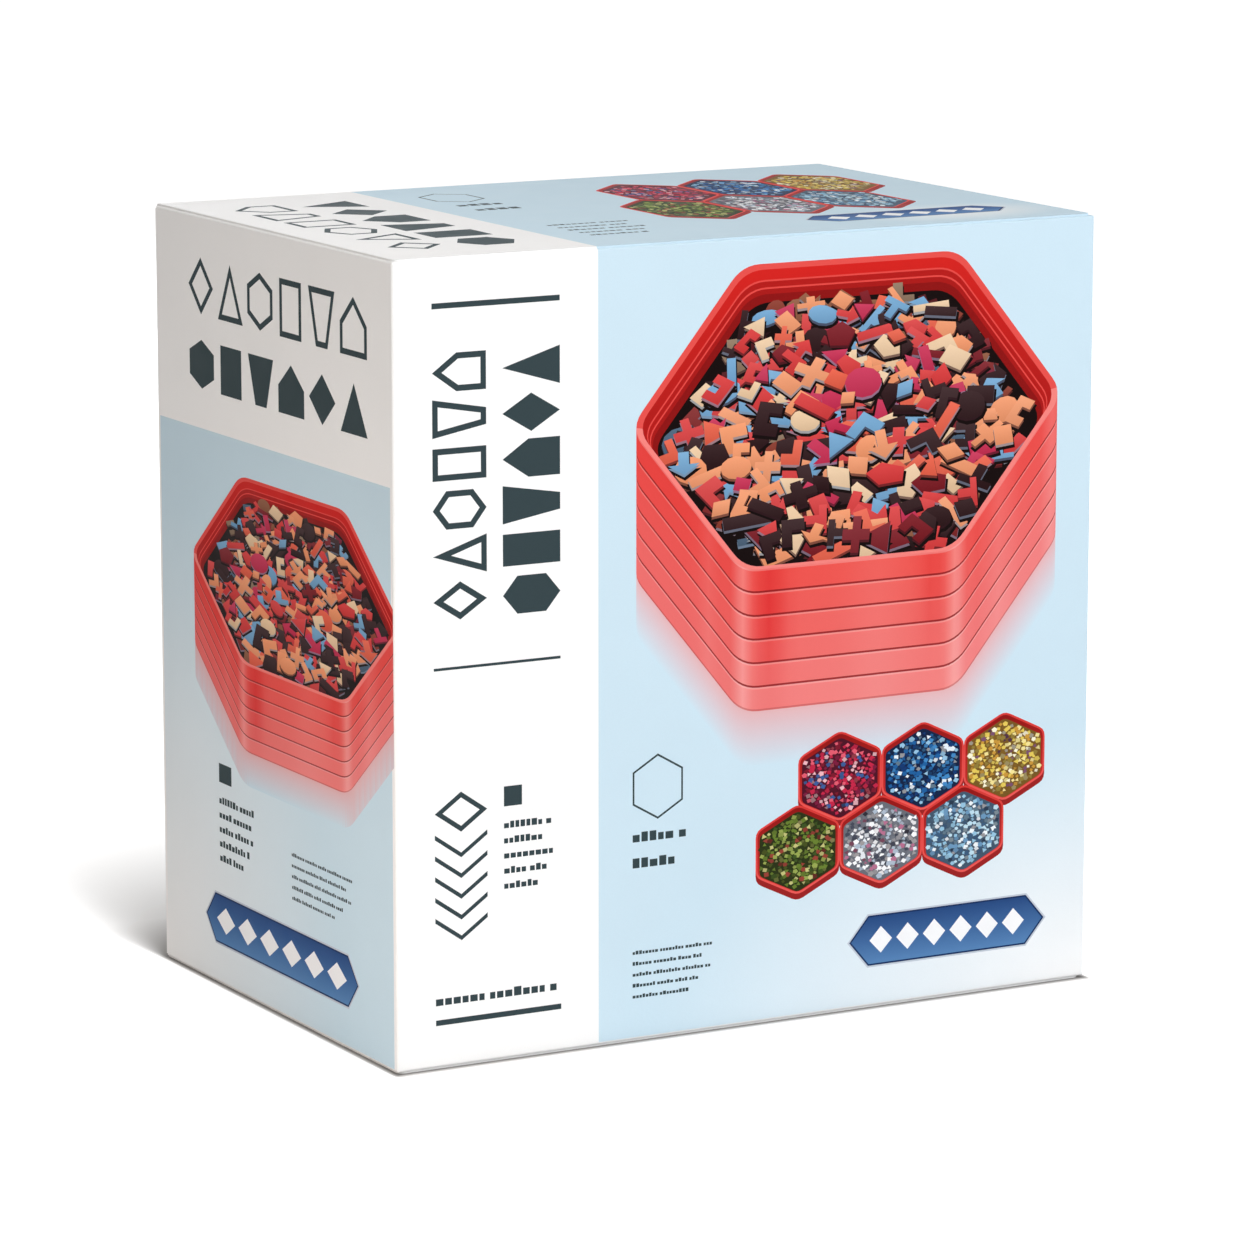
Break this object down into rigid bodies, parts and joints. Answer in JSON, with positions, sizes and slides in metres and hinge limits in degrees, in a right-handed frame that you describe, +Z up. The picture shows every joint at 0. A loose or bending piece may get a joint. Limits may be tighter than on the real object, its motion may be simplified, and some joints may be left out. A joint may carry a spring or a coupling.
{
  "type": "printed retail carton",
  "caption": "Shut folding carton of printed white board, with outer top and bottom flaps hung from its back panel and flush fields of ink; a sealed pack of sorting trays.",
  "frame": {"origin": "middle of the base, on the surface that the carton stands on", "axes": "+Z up; the front panel with the large picture faces -Y, and the left panel faces -X"},
  "size_m": [0.2, 0.136, 0.2],
  "materials": {
    "carton": "white coated board with a satin varnish",
    "print_black": "near-black ink under satin varnish",
    "print_blue": "blue ink under satin varnish",
    "print_cream": "cream ink under satin varnish",
    "print_dark_grey": "dark grey ink under satin varnish",
    "print_deep_red": "deep red ink under satin varnish",
    "print_green": "green ink under satin varnish",
    "print_light_red": "light red ink under satin varnish",
    "print_mid_red": "red ink under satin varnish",
    "print_navy": "dark blue ink under satin varnish",
    "print_orange": "orange ink under satin varnish",
    "print_pale_blue": "pale blue ink under satin varnish",
    "print_pink": "pink ink under satin varnish",
    "print_sky_blue": "sky blue ink under satin varnish",
    "print_white": "white ink under satin varnish",
    "print_yellow": "yellow ink under satin varnish"
  },
  "bodies": {
    "root": {"carton": "carton", "print_black": "print_black", "print_blue": "print_blue", "print_cream": "print_cream", "print_dark_grey": "print_dark_grey", "print_deep_red": "print_deep_red", "print_green": "print_green", "print_light_red": "print_light_red", "print_mid_red": "print_mid_red", "print_navy": "print_navy", "print_orange": "print_orange", "print_pale_blue": "print_pale_blue", "print_pink": "print_pink", "print_sky_blue": "print_sky_blue", "print_white": "print_white", "print_yellow": "print_yellow"}
  },
  "joints": []
}
